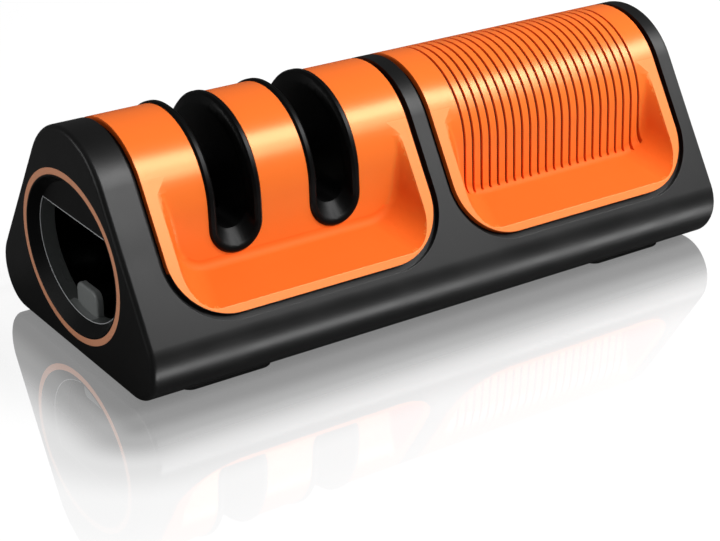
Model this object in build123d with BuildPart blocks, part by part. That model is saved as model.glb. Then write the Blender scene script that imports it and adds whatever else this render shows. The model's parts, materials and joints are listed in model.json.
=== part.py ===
from build123d import *
import os
from math import acos, atan2, cos, degrees, hypot, radians, sin, tan

# A two-stage hand knife sharpener: a rounded triangular housing that stands on four feet, with two
# saddle-shaped covers let into it. The left cover holds two slots over pairs of coned abrasive
# discs, the right one is the grip. Millimetres, +Z up, X along the body, the front towards -Y.
# The origin is on the table, under the middle of the body. Heights are above the body's underside.

# Housing
LENGTH = 190.0
DEPTH = 85.8
HEIGHT = 62.8
RIDGE_R = 22.9  # round along the top
TOE_R = 11.3  # rounds along the two lower edges
WALL = 3.0
END_WALL = 3.0
END_ROUND = 1.5
FOOT_DROP = 1.2  # the body's underside above the table

# Covers, measured along X from the body's ends and down the slope from the ridge's round
STAGE_INSET = 11.6
STAGE_L = 81.5
COVER_SPLIT = 8.1  # between the two covers
GRIP_INSET = 7.1
PANEL_LOW = 3.1  # the panel's lower edge above the toe's round, down the slope
PANEL_CORNER = 16.6
PANEL_T = 1.8
COVER_FIT = 0.05
CHANNEL = 1.8  # open gap round each cover
LEDGE_SEAT = 0.8  # how far the housing's ledge reaches under a cover
RIM_SIDE = 3.3
RIM_LOW = 2.2

# Pockets on either side of a cover's neck
NECK_DRAFT = 3.0
FLOOR_RISE = 4.8  # the pocket's floor at the neck above its outer rim
POCKET_FLARE = 3.5
POCKET_BLEND = 4.0  # how far down the slope the rim is fully spread
CORNER_STEP = 6.1  # the rim's outer corner less the pocket's
POCKET_WALL = 1.5
WALL_EASE = 1.0  # extra round outside the pocket's corners
NECK_ROOT = 3.0
CUT_OVER = 6.0  # how far cuts run past the surface
HAIR = 0.05

# Grip grooves
GROOVE_INSET = 9.1  # the first groove from the cover's left end
GROOVE_STOP = 8.4  # plain neck kept at the cover's right end
GROOVE_PITCH = 2.915
GROOVE_W = 0.8
GROOVE_DEEP = 0.6
GROOVE_RISE = 0.4

# Slots and their liners
SLOT_INSET = {"coarse": 24.9, "fine": 55.6}  # from the stage cover's left end
SLOT_HALF = 8.0
SLOT_RISE = 1.7  # the slot's lowest point above the pocket's floor
LINER_FIT = 0.05
LIP_RISE = 0.6
LIP_EASE = 0.5
COLLAR_DEEP = 2.2
MOUTH_HALF = 5.9
MOUTH_STEP = 1.6
THROAT_HALF = 4.65
THROAT_STEP = 4.2
THROAT_ROUND = 4.6
FLARE_DEEP = 2.8
FLARE_OVER = 1.0
LINER_WALL = 1.3
WINDOW_HALF = 9.0  # opening over the discs, front to back

# Abrasive discs on their axles
AXLE_DROP = 7.6  # the axles below the liners' floors
AXLE_R = 2.0
AXLE_TIP = 0.9
AXLE_CHAMFER = 0.4
DISC_R = 10.0
VEE_R = 6.5  # bottom of the vee between two discs
VEE_ANGLE = {"coarse": 20.0, "fine": 17.0}
DISC_OUT = 4.0
DISC_CHAMFER = 0.4
HUB_R = 3.6
HUB_OUT = 5.9
SPACER_R = 5.0
SPACER_HALF = 0.3
SEAT_FIT = 0.02
RUNNING_FIT = 0.05
SIDE_PLAY = 0.3

# Cradle, bushes and clips
CRADLE_T = 2.0
CRADLE_HALF = 14.0
CRADLE_END = 3.0
CHEEK_T = 2.2
CHEEK_TOP_R = 5.5
CHEEK_FOOT = 11.0
BUSH_R = 3.0
BUSH_FLANGE_R = 4.2
BUSH_FLANGE_T = 0.4
CLIP_R = 3.4
CLIP_T = 0.6
CLIP_MOUTH = 2.4
CLIP_BORE_R = 1.6
CLIP_PLAY = 0.05

# Base plate and screws
BASE_INSET = 11.0
BASE_T = 2.0
BASE_CORNER = 6.0
BASE_LAP = 3.0
BASE_END_LAP = 12.0
BASE_FIT = 0.1
BOSS_R = 3.6
BOSS_UP = 6.0
BOSS_Y = 12.0
SCREW_R = 1.2
SCREW_CLEAR = 0.2
PILOT_CLEAR = 0.05
SCREW_TIP = 0.3
HEAD_R = 2.5
HEAD_T = 1.1
HEAD_FIT = 0.1
DRIVE_L = 2.6
DRIVE_W = 0.6
DRIVE_DEEP = 0.6
BASE_SCREW_L = 6.0
CRADLE_SCREW_L = 3.4
CRADLE_SCREW_Y = 10.5

# Feet
FOOT_END = 26.85
FOOT_SIDE = 13.25
FOOT_GAP = 2.65  # between a foot and the base plate
FOOT_L = 27.2
FOOT_W = 10.0
FOOT_CORNER = 3.4
FOOT_SEAT = 1.0
FOOT_FIT = 0.1
FOOT_CHAMFER = 0.3

# Left end: oval ring, and a dished bezel with a window
RING_UP = 27.4
RING_Y = 27.35
RING_Z = 23.3
RING_W = 1.8
RING_FIT = 0.05
DISH_LIP = 0.5
DISH_DEEP = 2.85
WINDOW_UP = 28.0
WINDOW_Y = 22.9
WINDOW_Z = 18.5
WINDOW_TOP = 36.9
WINDOW_ROUND = 1.2
TUNNEL_DEEP = 4.3
TUNNEL_WALL = 1.4
BEZEL_FLANGE = 1.6
BEZEL_FLANGE_T = 1.5
BEZEL_FIT = 0.3
TAB_Y = 2.4
TAB_HALF = 5.8
TAB_TOP = 16.4
TAB_SET = 2.3
TAB_ROUND = 2.4
TAB_EASE = 0.7

# Worked out from the sizes above
LEFT_END = -LENGTH / 2
RIDGE_UP = HEIGHT - RIDGE_R
TOE_Y = DEPTH / 2 - TOE_R
SLOPE_TILT = degrees(
    acos((RIDGE_R - TOE_R) / hypot(TOE_Y, RIDGE_UP - TOE_R)) - atan2(RIDGE_UP - TOE_R, TOE_Y)
)
SLOPE_OUT = Vector(cos(radians(SLOPE_TILT)), sin(radians(SLOPE_TILT)))
SLOPE_DOWN = Vector(sin(radians(SLOPE_TILT)), -cos(radians(SLOPE_TILT)))
SLOPE_TOP = Vector(0, RIDGE_UP) + SLOPE_OUT * RIDGE_R
SLOPE_FOOT = Vector(TOE_Y, TOE_R) + SLOPE_OUT * TOE_R
PANEL_REACH = (SLOPE_FOOT - SLOPE_TOP).length - PANEL_LOW
RIM_EDGE = SLOPE_TOP + SLOPE_DOWN * (PANEL_REACH - RIM_LOW)
POCKET_FLOOR = RIM_EDGE.Y + FLOOR_RISE
SLOT_LOW = POCKET_FLOOR + SLOT_RISE
MOUTH_LOW = SLOT_LOW + MOUTH_STEP
THROAT_LOW = MOUTH_LOW + THROAT_STEP
GROOVE_LOW = POCKET_FLOOR + GROOVE_RISE
AXLE_UP = THROAT_LOW - AXLE_DROP
LEDGE_DEEP = PANEL_T + COVER_FIT
BED_LOW = (SLOPE_TOP + SLOPE_DOWN * (PANEL_REACH + CHANNEL) - SLOPE_OUT * LEDGE_DEEP).Y - HAIR
AXLE_AXIS = Axis((0, 0, FOOT_DROP + AXLE_UP), (1, 0, 0))
RIDGE_AXIS = Axis((0, 0, FOOT_DROP + RIDGE_UP), (1, 0, 0))
CHEEK_IN = HUB_OUT + SIDE_PLAY + BUSH_FLANGE_T
CHEEK_OUT = CHEEK_IN + CHEEK_T
CLIP_IN = CHEEK_OUT + SIDE_PLAY
AXLE_HALF = CLIP_IN + CLIP_T + AXLE_TIP
FOOT_X = LENGTH / 2 - FOOT_END
FOOT_Y = DEPTH / 2 - FOOT_SIDE
BASE_L = LENGTH - 2 * BASE_INSET
BASE_W = 2 * (FOOT_Y - FOOT_W / 2 - FOOT_GAP)
BOSS_X = (BASE_L - BASE_END_LAP) / 2
TAB_FACE = LEFT_END + DISH_DEEP + TAB_SET
STAGE_X = (LEFT_END + STAGE_INSET, LEFT_END + STAGE_INSET + STAGE_L)
GRIP_X = (STAGE_X[1] + COVER_SPLIT, LENGTH / 2 - GRIP_INSET)
SLOT_X = {stage: STAGE_X[0] + inset for stage, inset in SLOT_INSET.items()}
GROOVE_FIRST = GRIP_X[0] + GROOVE_INSET
GROOVES = int((GRIP_X[1] - GROOVE_STOP - GROOVE_FIRST) / GROOVE_PITCH) + 1
STAGE_MIDDLE = sum(SLOT_X.values()) / len(SLOT_X)
STAGE_SPREAD = max(SLOT_X.values()) - min(SLOT_X.values())


def across(x):
    """The plane across the body at x, drawn in Y and height."""
    return Plane(origin=(x, 0, FOOT_DROP), x_dir=(0, 1, 0), z_dir=(1, 0, 0))


def level(up):
    """The level plane at a height."""
    return Plane.XY.offset(FOOT_DROP + up)


def facing():
    """The plane through the ridge, seen from the front and drawn in X and height."""
    return Plane(origin=(0, 0, FOOT_DROP), x_dir=(1, 0, 0), z_dir=(0, -1, 0))


def outline(inset=0.0):
    """The rounded triangle across the body, set in from its outer surface."""
    with BuildSketch() as section:
        with BuildLine():
            Line((0, inset), (TOE_Y, inset))
            toe = CenterArc((TOE_Y, TOE_R), TOE_R - inset, -90, 90 + SLOPE_TILT)
            ridge = CenterArc((0, RIDGE_UP), RIDGE_R - inset, SLOPE_TILT, 90 - SLOPE_TILT)
            Line(toe @ 1, ridge @ 0)
            mirror(about=Plane.YZ)
        make_face()
    return section.sketch


def neck_outline(grow=0.0):
    """The neck across the body: the ridge's round carried on to walls that flare outwards."""
    with BuildSketch() as section:
        with BuildLine():
            crown = CenterArc((0, RIDGE_UP), RIDGE_R + grow, NECK_DRAFT, 90 - NECK_DRAFT)
            brow = crown @ 0
            root = Vector(brow.X + (brow.Y - BED_LOW) * tan(radians(NECK_DRAFT)), BED_LOW)
            Polyline(brow, root, (0, BED_LOW))
            mirror(about=Plane.YZ)
        make_face()
    return section.sketch


def slot_outline(x, half, low, corner):
    """A slot seen from the front: open at the top, with rounded lower corners."""
    with BuildSketch() as profile:
        with Locations((x, low)):
            Rectangle(2 * half, HEIGHT + CUT_OVER - low, align=(Align.CENTER, Align.MIN))
        fillet(profile.vertices().group_by(Axis.Y)[0], min(corner, half - HAIR))
    return profile.sketch


def panel_waste(x_range, grow=0.0):
    """What lies outside a cover's rounded lower edge, front and back, with that edge grown."""
    width = x_range[1] - x_range[0] + 2 * grow
    reach = PANEL_REACH + grow
    slope = Plane(
        origin=((x_range[0] + x_range[1]) / 2, SLOPE_TOP.X, FOOT_DROP + SLOPE_TOP.Y),
        x_dir=(1, 0, 0),
        z_dir=(0, SLOPE_OUT.X, SLOPE_OUT.Y),
    )
    with BuildSketch() as panel:
        Rectangle(width, 2 * reach)
        fillet(panel.vertices().group_by(Axis.Y)[-1], PANEL_CORNER + grow)
    with BuildPart() as waste:
        with BuildSketch(slope):
            with Locations((0, reach - PANEL_CORNER - grow)):
                Rectangle(width + 2 * CUT_OVER, DEPTH, align=(Align.CENTER, Align.MIN))
            add(panel.sketch, mode=Mode.SUBTRACT)
        extrude(amount=RIDGE_R, both=True)
        mirror(about=Plane.XZ)
    return waste.part


def saddle_block(x_range, grow=0.0):
    """The body under a cover's outline, with that outline grown all round."""
    with BuildPart() as block:
        with BuildSketch(across(x_range[0] - grow)):
            add(outline())
            Rectangle(DEPTH, BED_LOW, align=(Align.CENTER, Align.MIN), mode=Mode.SUBTRACT)
        extrude(amount=x_range[1] - x_range[0] + 2 * grow)
        add(panel_waste(x_range, grow), mode=Mode.SUBTRACT)
    return block.part


def cover_bed(x_range):
    """What a cover takes out of the housing: its bed and gap, and the opening inside its ledge."""
    start = x_range[0] - CUT_OVER
    span = x_range[1] - x_range[0] + 2 * CUT_OVER
    with BuildPart() as bed:
        add(saddle_block(x_range, CHANNEL))
        with BuildSketch(across(start)):
            add(outline(LEDGE_DEEP))
        extrude(amount=span, mode=Mode.SUBTRACT)
        add(saddle_block(x_range, -LEDGE_SEAT))
    return bed.part


def pocket_profile(grow=0.0):
    """A pocket at the back across the body, grown for the outside of its floor and neck wall."""
    floor = POCKET_FLOOR - grow
    with BuildSketch() as profile:
        with BuildLine():
            crown = CenterArc((0, RIDGE_UP), RIDGE_R - grow, NECK_DRAFT, SLOPE_TILT - NECK_DRAFT)
            brow = crown @ 0
            foot = Vector(brow.X + (brow.Y - floor) * tan(radians(NECK_DRAFT)), floor)
            fall = (RIM_EDGE - foot).normalized()
            rim = RIM_EDGE + SLOPE_DOWN * (grow / abs(fall.X * SLOPE_DOWN.Y - fall.Y * SLOPE_DOWN.X))
            over = SLOPE_OUT * CUT_OVER
            Polyline(brow, foot, rim, rim + over, SLOPE_TOP + over, crown @ 1)
        make_face()
    return profile.sketch


def neck_side(up):
    """How far the neck's wall or round stands from the middle at a height."""
    brow_up = RIDGE_UP + RIDGE_R * sin(radians(NECK_DRAFT))
    if up > brow_up:
        return (RIDGE_R**2 - (up - RIDGE_UP) ** 2) ** 0.5
    return RIDGE_R * cos(radians(NECK_DRAFT)) + (brow_up - up) * tan(radians(NECK_DRAFT))


def pockets(x_range):
    """The rooms beside a cover's neck, back and front, with ends that spread towards the rim."""
    low_x = x_range[0] + RIM_SIDE
    high_x = x_range[1] - RIM_SIDE
    blend = (SLOPE_TOP + SLOPE_DOWN * POCKET_BLEND).Y
    with BuildPart() as room:
        with BuildSketch(across(low_x)):
            add(pocket_profile())
        extrude(amount=high_x - low_x)
        for edge_x, inward in ((low_x, 1), (high_x, -1)):
            for up, spread in ((0, 1), (blend, 1), (SLOPE_TOP.Y, HAIR)):
                slope_y = SLOPE_TOP.X + (SLOPE_TOP.Y - up) * tan(radians(SLOPE_TILT))
                neck_y = min(neck_side(up), slope_y) - HAIR
                neck_x = edge_x + inward * POCKET_FLARE
                rim_x = neck_x - inward * POCKET_FLARE * spread
                past_y = slope_y + CUT_OVER + TOE_R
                with BuildSketch(level(up)):
                    with BuildLine():
                        Polyline(
                            (neck_x, neck_y),
                            (rim_x, slope_y),
                            (rim_x, past_y),
                            (edge_x - inward, past_y),
                            (edge_x - inward, neck_y),
                            close=True,
                        )
                    make_face()
            loft(ruled=True, mode=Mode.SUBTRACT)
        mirror(about=Plane.XZ)
    return room.part


def cover_hollow(x_range):
    """The room behind a cover's skin and round the walls of its pockets."""
    start = x_range[0] + RIM_SIDE - POCKET_WALL
    span = x_range[1] - x_range[0] - 2 * (RIM_SIDE - POCKET_WALL)
    with BuildPart() as walls:
        with BuildSketch(across(start)):
            add(pocket_profile(POCKET_WALL))
        extrude(amount=span)
        under = walls.faces().sort_by(Axis.Z)[:1].edges().filter_by(Axis.X, reverse=True)
        fillet(under, PANEL_CORNER - CORNER_STEP + POCKET_WALL + WALL_EASE)
        mirror(about=Plane.XZ)
        add(panel_waste(x_range, -LEDGE_SEAT - COVER_FIT), mode=Mode.SUBTRACT)
    with BuildPart() as hollow:
        with BuildSketch(across(x_range[0] - CUT_OVER)):
            add(outline(PANEL_T))
        extrude(amount=x_range[1] - x_range[0] + 2 * CUT_OVER)
        add(walls.part, mode=Mode.SUBTRACT)
    return hollow.part


def saddle(x_range):
    """A cover: the skin over the ridge and both slopes, with a walled pocket on either side."""
    with BuildPart() as cover:
        with BuildSketch(across(x_range[0])):
            add(outline())
            Rectangle(DEPTH, BED_LOW, align=(Align.CENTER, Align.MIN), mode=Mode.SUBTRACT)
        extrude(amount=x_range[1] - x_range[0])
        add(pockets(x_range), mode=Mode.SUBTRACT)
        floors = cover.faces().filter_by(is_pocket_floor)
        fillet(floors.edges().filter_by(Axis.X, reverse=True), PANEL_CORNER - CORNER_STEP)
        floors = cover.faces().filter_by(is_pocket_floor)
        roots = floors.edges().filter_by(Axis.X).filter_by(
            lambda edge: abs(edge.center().Y) < neck_side(POCKET_FLOOR) + HAIR
        )
        fillet(roots, NECK_ROOT)
        add(panel_waste(x_range), mode=Mode.SUBTRACT)
        add(cover_hollow(x_range), mode=Mode.SUBTRACT)
    return cover.part


def is_pocket_floor(face):
    """Whether a face of a cover is the flat floor of a pocket."""
    normal = face.normal_at()
    middle = face.center()
    flat = face.geom_type == GeomType.PLANE and normal.Z > cos(radians(SLOPE_TILT))
    return flat and neck_side(POCKET_FLOOR) < abs(middle.Y) < RIM_EDGE.X


def slot_prism(x, half, low, corner):
    """A slot run through the body from front to back."""
    with BuildPart() as prism:
        with BuildSketch(facing()):
            add(slot_outline(x, half, low, corner))
        extrude(amount=DEPTH, both=True)
    return prism.part


def funnel(x):
    """A liner's flared mouth, over the ridge and down both sides of the neck."""
    slant = radians(NECK_DRAFT)
    over = LIP_RISE + FLARE_OVER
    wide = (MOUTH_HALF - THROAT_HALF) / (FLARE_DEEP + LIP_RISE)
    steep = (THROAT_LOW - MOUTH_LOW) / (FLARE_DEEP + LIP_RISE)
    with BuildPart() as cut:
        for deep, corner in ((-over, MOUTH_HALF), (FLARE_DEEP, THROAT_ROUND)):
            reach = RIDGE_R - deep
            brow_up = RIDGE_UP + reach * sin(slant)
            half = THROAT_HALF + wide * (FLARE_DEEP - deep)
            tall = brow_up - THROAT_LOW + steep * (FLARE_DEEP - deep)
            face = Plane(
                origin=(x, -reach * cos(slant), FOOT_DROP + brow_up),
                x_dir=(1, 0, 0),
                z_dir=(0, -cos(slant), sin(slant)),
            )
            with BuildSketch(face) as mouth:
                Rectangle(2 * half, tall, align=(Align.CENTER, Align.MAX))
                fillet(mouth.vertices().group_by(Axis.Y)[0], min(corner, tall - HAIR))
        loft(ruled=True)
        mirror(about=Plane.XZ)
        radial = Plane(
            origin=(x, 0, FOOT_DROP + RIDGE_UP),
            x_dir=(1, 0, 0),
            z_dir=(0, -sin(slant), cos(slant)),
        )
        with BuildSketch(radial):
            with BuildLine():
                near = RIDGE_R - FLARE_DEEP
                far = RIDGE_R + over
                half = THROAT_HALF + wide * (FLARE_DEEP + over)
                Polyline(
                    (-THROAT_HALF, near), (THROAT_HALF, near), (half, far), (-half, far), close=True
                )
            make_face()
        revolve(axis=RIDGE_AXIS, revolution_arc=180 - 2 * NECK_DRAFT)
    return cut.part


def is_raised(face):
    """Whether a face of a liner is the top of its lip."""
    slant = radians(NECK_DRAFT)
    middle = face.position_at(0.5, 0.5)
    side = abs(middle.Y)
    rise = middle.Z - FOOT_DROP - RIDGE_UP
    away = side * cos(slant) + rise * sin(slant)
    if rise > RIDGE_R * sin(slant):
        away = hypot(side, rise)
    return abs(away - RIDGE_R - LIP_RISE) < HAIR


def turned(points):
    """A solid turned about the axles' line from points given as (x, radius)."""
    with BuildPart() as solid:
        with BuildSketch(facing()):
            with BuildLine():
                Polyline([(x, AXLE_UP + radius) for x, radius in points], close=True)
            make_face()
        revolve(axis=AXLE_AXIS)
    return solid.part


os.makedirs("parts", exist_ok=True)

# The housing: closed ends, beds for the covers, an opening below and one in the left end
stage_bed = cover_bed(STAGE_X)
grip_bed = cover_bed(GRIP_X)
with BuildPart() as housing_shell:
    with BuildSketch(across(LEFT_END)):
        add(outline())
    extrude(amount=LENGTH)
    fillet(housing_shell.faces().filter_by(Axis.X).edges(), END_ROUND)
    with BuildSketch(across(LEFT_END + END_WALL)):
        add(outline(WALL))
    extrude(amount=LENGTH - 2 * END_WALL, mode=Mode.SUBTRACT)
    add(stage_bed, mode=Mode.SUBTRACT)
    add(grip_bed, mode=Mode.SUBTRACT)
    with BuildSketch(level(0)):
        RectangleRounded(BASE_L + 2 * BASE_FIT, BASE_W + 2 * BASE_FIT, BASE_CORNER + BASE_FIT)
    extrude(amount=BASE_T, mode=Mode.SUBTRACT)
    with BuildSketch(level(0)):
        RectangleRounded(BASE_L - 2 * BASE_END_LAP, BASE_W - 2 * BASE_LAP, BASE_CORNER)
    extrude(amount=WALL, mode=Mode.SUBTRACT)
    with BuildSketch(level(WALL)):
        with GridLocations(2 * BOSS_X, 2 * BOSS_Y, 2, 2):
            Circle(BOSS_R)
    extrude(amount=BOSS_UP)
    with BuildSketch(level(BASE_T)):
        with GridLocations(2 * BOSS_X, 2 * BOSS_Y, 2, 2):
            Circle(SCREW_R + PILOT_CLEAR)
    extrude(amount=BASE_SCREW_L + SCREW_TIP, mode=Mode.SUBTRACT)
    with BuildSketch(level(0)):
        with GridLocations(2 * FOOT_X, 2 * FOOT_Y, 2, 2):
            RectangleRounded(FOOT_L + 2 * FOOT_FIT, FOOT_W + 2 * FOOT_FIT, FOOT_CORNER + FOOT_FIT)
    extrude(amount=FOOT_SEAT, mode=Mode.SUBTRACT)
    with BuildSketch(across(LEFT_END)):
        with Locations((0, RING_UP)):
            Ellipse(RING_Y + RING_FIT, RING_Z + RING_FIT)
    extrude(amount=END_WALL, mode=Mode.SUBTRACT)
housing_shell.part.label = "housing_shell"
export_step(housing_shell.part, "parts/housing_shell.step")

# The stage cover: a saddle with a flared pocket front and back and a slot over each wheel pair
stage_saddle = saddle(STAGE_X)
with BuildPart() as stage_cover:
    add(stage_saddle)
    with BuildSketch(facing()):
        for x in SLOT_X.values():
            add(slot_outline(x, SLOT_HALF, SLOT_LOW, SLOT_HALF))
    extrude(amount=DEPTH, both=True, mode=Mode.SUBTRACT)
stage_cover.part.label = "stage_cover"
export_step(stage_cover.part, "parts/stage_cover.step")

# The grip cover: the same saddle, with fine grooves over its neck
grip_saddle = saddle(GRIP_X)
groove_starts = [GROOVE_FIRST + GROOVE_PITCH * i for i in range(GROOVES)]
with BuildPart() as grip_cover:
    add(grip_saddle)
    with BuildSketch(*[across(x) for x in groove_starts]):
        add(neck_outline(PANEL_T))
        add(neck_outline(-GROOVE_DEEP), mode=Mode.SUBTRACT)
        Rectangle(DEPTH, GROOVE_LOW, align=(Align.CENTER, Align.MIN), mode=Mode.SUBTRACT)
    extrude(amount=GROOVE_W, mode=Mode.SUBTRACT)
grip_cover.part.label = "grip_cover"
export_step(grip_cover.part, "parts/grip_cover.step")

# The liners: a rounded lip over the neck, a flared mouth, and a well down to the discs
for stage, x in SLOT_X.items():
    lip_block = slot_prism(x, SLOT_HALF - LINER_FIT, SLOT_LOW + LINER_FIT, SLOT_HALF)
    well_half = THROAT_HALF + LINER_WALL
    well_block = slot_prism(x, well_half, THROAT_LOW - LINER_WALL, THROAT_ROUND + LINER_WALL)
    throat = slot_prism(x, THROAT_HALF, THROAT_LOW, THROAT_ROUND)
    mouth = funnel(x)
    with BuildPart() as collar:
        with BuildSketch(across(x - SLOT_HALF)):
            add(neck_outline(LIP_RISE))
            add(neck_outline(-COLLAR_DEEP), mode=Mode.SUBTRACT)
        extrude(amount=2 * SLOT_HALF)
        add(lip_block, mode=Mode.INTERSECT)
    with BuildPart() as liner:
        with BuildSketch(across(x - SLOT_HALF)):
            add(neck_outline(-HAIR))
        extrude(amount=2 * SLOT_HALF)
        add(well_block, mode=Mode.INTERSECT)
        add(collar.part)
        add(throat, mode=Mode.SUBTRACT)
        add(mouth, mode=Mode.SUBTRACT)
        with BuildSketch(level(THROAT_LOW - LINER_WALL)):
            with Locations((x, 0)):
                Rectangle(2 * THROAT_HALF, 2 * WINDOW_HALF)
        extrude(amount=LINER_WALL + THROAT_ROUND, mode=Mode.SUBTRACT)
        lips = liner.faces().filter_by(is_raised).edges()
        chamfer(lips.filter_by(lambda edge: sum(edge.is_same(other) for other in lips) == 1), LIP_EASE)
    liner.part.label = f"{stage}_liner"
    export_step(liner.part, f"parts/{stage}_liner.step")

# The left end's oval ring
with BuildPart() as end_ring:
    with BuildSketch(across(LEFT_END)):
        with Locations((0, RING_UP)):
            Ellipse(RING_Y, RING_Z)
            Ellipse(RING_Y - RING_W, RING_Z - RING_W, mode=Mode.SUBTRACT)
    extrude(amount=END_WALL)
end_ring.part.label = "end_ring"
export_step(end_ring.part, "parts/end_ring.step")


def window(grow=0.0):
    """The window in the left end: an oval with a straight top."""
    with BuildSketch() as opening:
        with Locations((0, WINDOW_UP)):
            Ellipse(WINDOW_Y + grow, WINDOW_Z + grow)
        with Locations((0, WINDOW_TOP + grow)):
            Rectangle(DEPTH, HEIGHT, align=(Align.CENTER, Align.MIN), mode=Mode.SUBTRACT)
        fillet(opening.vertices().group_by(Axis.Y)[-1], WINDOW_ROUND + grow)
    return opening.sketch


# The bezel: a dished cup inside the ring, a flange behind the wall, and the window's short tunnel
with BuildPart() as end_bezel:
    with BuildSketch(across(LEFT_END)):
        with Locations((0, RING_UP)):
            Ellipse(RING_Y - RING_W - RING_FIT, RING_Z - RING_W - RING_FIT)
    extrude(amount=END_WALL)
    with BuildSketch(across(LEFT_END + END_WALL)):
        with Locations((0, RING_UP)):
            Ellipse(RING_Y + BEZEL_FLANGE, RING_Z + BEZEL_FLANGE)
        add(outline(WALL + BEZEL_FIT), mode=Mode.INTERSECT)
    extrude(amount=BEZEL_FLANGE_T)
    with BuildSketch(across(LEFT_END + END_WALL)):
        add(window(TUNNEL_WALL))
    extrude(amount=DISH_DEEP + TUNNEL_DEEP - END_WALL)
    with BuildSketch(across(LEFT_END)):
        with Locations((0, RING_UP)):
            Ellipse(RING_Y - RING_W - DISH_LIP, RING_Z - RING_W - DISH_LIP)
    with BuildSketch(across(LEFT_END + DISH_DEEP)):
        with Locations((0, WINDOW_UP)):
            Ellipse(WINDOW_Y, WINDOW_Z)
    loft(mode=Mode.SUBTRACT)
    with BuildSketch(across(LEFT_END)):
        add(window())
    extrude(amount=DISH_DEEP + TUNNEL_DEEP, mode=Mode.SUBTRACT)
    with BuildSketch(across(TAB_FACE)) as tab:
        with Locations((TAB_Y, TAB_TOP)):
            Rectangle(2 * TAB_HALF, WINDOW_Z, align=(Align.CENTER, Align.MAX))
        fillet(tab.vertices().group_by(Axis.Y)[-1], TAB_ROUND)
        add(window(TUNNEL_WALL / 2), mode=Mode.INTERSECT)
    extrude(amount=TUNNEL_DEEP - TAB_SET)
    tab_faces = end_bezel.faces().filter_by(Axis.X)
    tab_faces = tab_faces.filter_by_position(Axis.X, TAB_FACE - HAIR, TAB_FACE + HAIR)
    tab_foot = FOOT_DROP + WINDOW_UP - WINDOW_Z + TAB_ROUND
    fillet(tab_faces.edges().filter_by(lambda edge: edge.center().Z > tab_foot), TAB_EASE)
end_bezel.part.label = "end_bezel"
export_step(end_bezel.part, "parts/end_bezel.step")

# The base plate, let in flush from below
with BuildPart() as base_plate:
    with BuildSketch(level(0)):
        RectangleRounded(BASE_L, BASE_W, BASE_CORNER)
    extrude(amount=BASE_T)
    with BuildSketch(level(0)):
        with GridLocations(2 * BOSS_X, 2 * BOSS_Y, 2, 2):
            Circle(HEAD_R + HEAD_FIT)
    extrude(amount=HEAD_T + HEAD_FIT, mode=Mode.SUBTRACT)
    with BuildSketch(level(0)):
        with GridLocations(2 * BOSS_X, 2 * BOSS_Y, 2, 2):
            Circle(SCREW_R + SCREW_CLEAR)
    extrude(amount=BASE_T, mode=Mode.SUBTRACT)
    with BuildSketch(level(BASE_T)):
        with Locations((STAGE_MIDDLE, 0)):
            with GridLocations(STAGE_SPREAD, 2 * CRADLE_SCREW_Y, 2, 2):
                Circle(SCREW_R + PILOT_CLEAR)
    extrude(amount=CRADLE_T - CRADLE_SCREW_L - PILOT_CLEAR, mode=Mode.SUBTRACT)
base_plate.part.label = "base_plate"
export_step(base_plate.part, "parts/base_plate.step")

# Screws through the base plate into the housing's bosses
with BuildPart() as base_screws:
    with BuildSketch(level(HEAD_FIT)):
        with GridLocations(2 * BOSS_X, 2 * BOSS_Y, 2, 2):
            Circle(HEAD_R)
    extrude(amount=HEAD_T)
    with BuildSketch(level(HEAD_FIT + HEAD_T)):
        with GridLocations(2 * BOSS_X, 2 * BOSS_Y, 2, 2):
            Circle(SCREW_R)
    extrude(amount=BASE_SCREW_L)
    with BuildSketch(level(HEAD_FIT)):
        with GridLocations(2 * BOSS_X, 2 * BOSS_Y, 2, 2):
            Rectangle(DRIVE_L, DRIVE_W)
            Rectangle(DRIVE_W, DRIVE_L)
    extrude(amount=DRIVE_DEEP, mode=Mode.SUBTRACT)
base_screws.part.label = "base_screws"
export_step(base_screws.part, "parts/base_screws.step")

# The cradle that carries both axles between two pairs of cheeks
cheek_starts = [x + start for x in SLOT_X.values() for start in (-CHEEK_OUT, CHEEK_IN)]
foot_up = BASE_T + CRADLE_T
with BuildPart() as wheel_cradle:
    with BuildSketch(level(BASE_T)):
        with Locations((STAGE_MIDDLE, 0)):
            Rectangle(STAGE_SPREAD + 2 * CHEEK_OUT + 2 * CRADLE_END, 2 * CRADLE_HALF)
    extrude(amount=CRADLE_T)
    with BuildSketch(*[across(x) for x in cheek_starts]):
        with Locations((0, AXLE_UP)):
            Circle(CHEEK_TOP_R)
        with Locations((0, BASE_T + CRADLE_T)):
            Rectangle(2 * CHEEK_FOOT, CRADLE_T / 2, align=(Align.CENTER, Align.MAX))
        make_hull()
        with Locations((0, AXLE_UP)):
            Circle(BUSH_R + SEAT_FIT, mode=Mode.SUBTRACT)
    extrude(amount=CHEEK_T)
    with BuildSketch(level(BASE_T)):
        with Locations((STAGE_MIDDLE, 0)):
            with GridLocations(STAGE_SPREAD, 2 * CRADLE_SCREW_Y, 2, 2):
                Circle(SCREW_R + SCREW_CLEAR)
    extrude(amount=CRADLE_T, mode=Mode.SUBTRACT)
wheel_cradle.part.label = "wheel_cradle"
export_step(wheel_cradle.part, "parts/wheel_cradle.step")

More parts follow.
